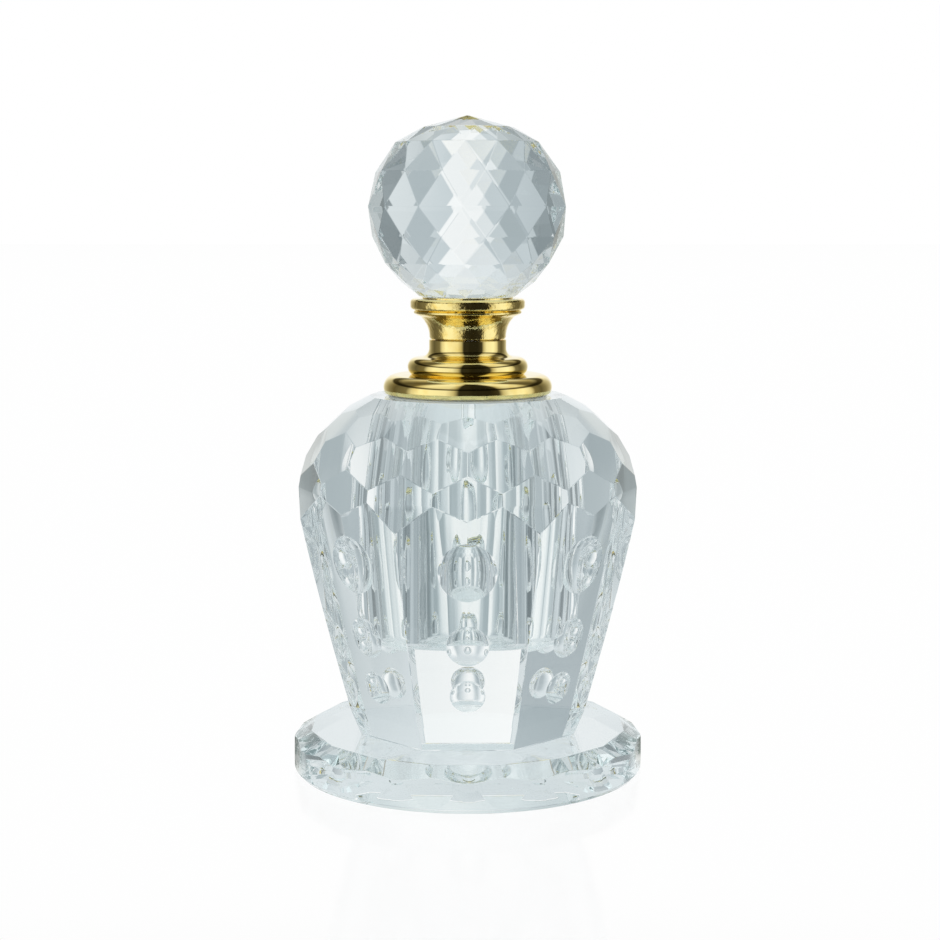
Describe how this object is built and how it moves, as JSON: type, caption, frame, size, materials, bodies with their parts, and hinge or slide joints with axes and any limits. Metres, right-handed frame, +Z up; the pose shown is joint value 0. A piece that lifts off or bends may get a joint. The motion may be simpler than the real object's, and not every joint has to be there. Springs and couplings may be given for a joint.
{
  "type": "perfume bottle",
  "caption": "Small faceted crystal perfume bottle on a round foot disc, with a gold-plated neck and a push-in stopper topped by a cut-crystal ball.",
  "frame": {"origin": "centre of the foot disc's underside, on the bottle's axis", "axes": "+Z up along the bottle's axis towards the ball; -Y is the front, with a long flat of the body facing it"},
  "size_m": [0.054, 0.054, 0.1002],
  "materials": {
    "crystal": "polished clear crystal with crisp facets",
    "clear_adhesive": "clear cured adhesive",
    "clear_washer": "translucent soft plastic, slightly warm",
    "gold_plate": "polished gold-coloured plating",
    "white_liner": "natural white moulded plastic",
    "seal_rubber": "clear-white silicone",
    "steel_clip": "plain"
  },
  "bodies": {
    "bottle": {"foot_disc": "crystal", "foot_bond": "clear_adhesive", "bottle_body": "crystal", "collar_gasket": "clear_washer", "collar_bond": "clear_adhesive", "neck_collar": "gold_plate", "neck_liner": "white_liner"},
    "plug": {"plug_sleeve": "white_liner", "plug_ring": "seal_rubber"},
    "stopper": {"stub_clip": "steel_clip", "stopper_cup": "gold_plate", "ball_bond": "clear_adhesive", "crystal_ball": "crystal"}
  },
  "joints": [
    {"name": "stopper_lift", "type": "slide", "parent": "bottle", "child": "plug", "axis": [0, 0, 1], "range_m": [0, 0.016]},
    {"name": "stopper_turn", "type": "hinge", "parent": "plug", "child": "stopper", "pos_m": [0, 0, 0.0665], "axis": [0, 0, 1], "continuous": true}
  ]
}
